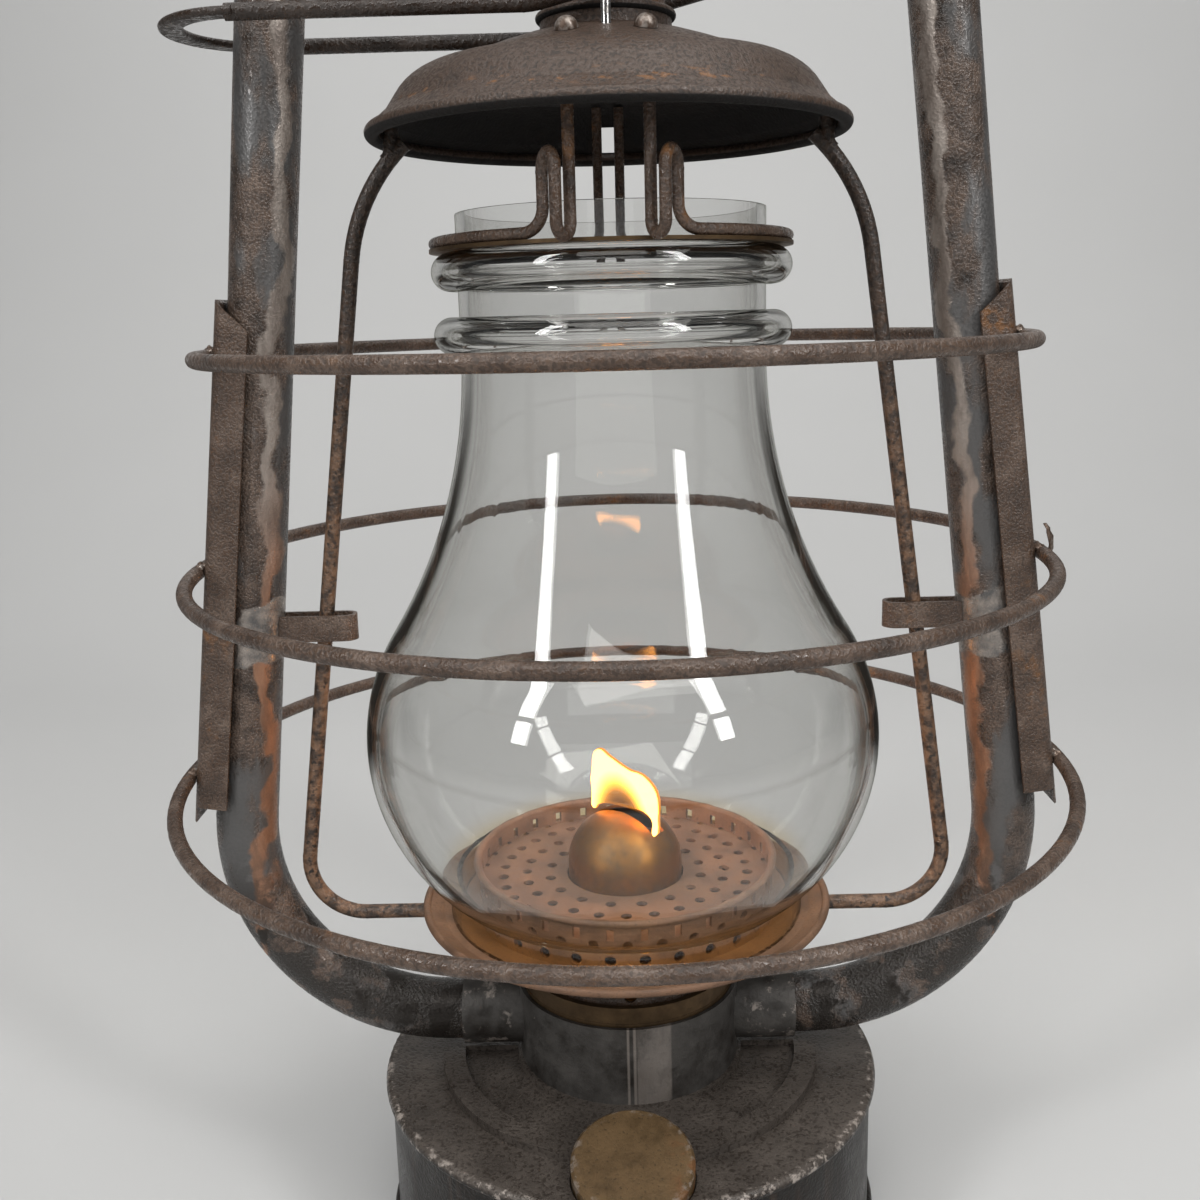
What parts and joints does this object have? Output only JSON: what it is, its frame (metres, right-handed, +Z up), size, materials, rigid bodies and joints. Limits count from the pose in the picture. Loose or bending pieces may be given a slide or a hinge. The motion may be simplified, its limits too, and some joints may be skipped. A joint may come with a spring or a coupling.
{
  "type": "hurricane lantern",
  "caption": "Tubular kerosene hurricane lantern with a clear globe in a wire guard, a lift bail for the globe and a turning wick knob.",
  "frame": {"origin": "middle of the foot ring, on the ground", "axes": "+Z up, -Y is the front with the filler cap, +X to the right seen from the front"},
  "size_m": [0.2275, 0.2274, 0.389],
  "materials": {
    "rusty_steel": "rusted, matt and pitted",
    "dark_steel": "dark, half gloss, worn",
    "worn_steel": "worn bare in patches",
    "bright_steel": "bright, scratched",
    "old_brass": "dull, tarnished",
    "copper_rust": "copper brown, stained",
    "clear_glass": "clear, slightly smoked",
    "wick_cotton": "woven, charred at the top",
    "gasket_rubber": "matt"
  },
  "bodies": {
    "frame": {"fount_shell": "dark_steel", "fount_base": "dark_steel", "filler_spout": "old_brass", "fount_neck": "dark_steel", "air_tube_left": "worn_steel", "air_tube_right": "worn_steel", "crown": "rusty_steel", "crown_cap": "rusty_steel", "guard_strap_left": "rusty_steel", "guard_strap_right": "rusty_steel", "guard_ring_top": "rusty_steel", "guard_ring_middle": "rusty_steel", "guard_ring_lower": "rusty_steel", "lift_guide_left": "rusty_steel", "lift_guide_right": "rusty_steel", "lever_band": "bright_steel", "burner_collar": "old_brass", "burner_gallery": "dark_steel", "burner_floor": "old_brass", "wick_tube": "old_brass", "burner_dome": "old_brass"},
    "globe_cage": {"hood": "rusty_steel", "hood_collar": "rusty_steel", "hood_lugs": "bright_steel", "retainer_left": "rusty_steel", "retainer_right": "rusty_steel", "globe_ring": "old_brass", "globe": "clear_glass", "globe_plate": "copper_rust", "draft_basket": "copper_rust", "lift_wire_left": "rusty_steel", "lift_wire_right": "rusty_steel", "lift_link_front": "bright_steel", "lift_link_rear": "bright_steel"},
    "lift_bail": {"lift_bail": "rusty_steel"},
    "wick_spindle": {"wick_spindle": "worn_steel", "wick_wheels": "old_brass", "wick_knob": "old_brass"},
    "wick": {"wick": "wick_cotton"},
    "filler_gasket": {"filler_gasket": "gasket_rubber"},
    "filler_cap": {"filler_cap": "old_brass"}
  },
  "joints": [
    {"name": "globe_lift", "type": "slide", "parent": "frame", "child": "globe_cage", "axis": [0, 0, 1], "range_m": [0, 0.026]},
    {"name": "bail_swing", "type": "hinge", "parent": "frame", "child": "lift_bail", "pos_m": [0.07559, 0, 0.333], "axis": [0, 1, 0], "range_deg": [0, 19.6]},
    {"name": "wick_turn", "type": "hinge", "parent": "frame", "child": "wick_spindle", "pos_m": [0.00315, 0.00451, 0.0805], "axis": [-0.8192, 0.5736, 0], "range_deg": [-116, 41.5]},
    {"name": "wick_rise", "type": "slide", "parent": "frame", "child": "wick", "axis": [0, 0, 1], "range_m": [-0.008, 0.0028]},
    {"name": "cap_rise", "type": "slide", "parent": "frame", "child": "filler_gasket", "axis": [0, -0.2924, 0.9563], "range_m": [0, 0.0048]},
    {"name": "cap_turn", "type": "hinge", "parent": "filler_gasket", "child": "filler_cap", "pos_m": [0, -0.054, 0.045], "axis": [0, -0.2924, 0.9563], "range_deg": [0, 722]}
  ],
  "couplings": [
    {"joint": "bail_swing", "follows": "globe_lift", "rad_per_m": 13.034},
    {"joint": "wick_turn", "follows": "wick_rise", "rad_per_m": 250},
    {"joint": "cap_turn", "follows": "cap_rise", "rad_per_m": 2618}
  ]
}
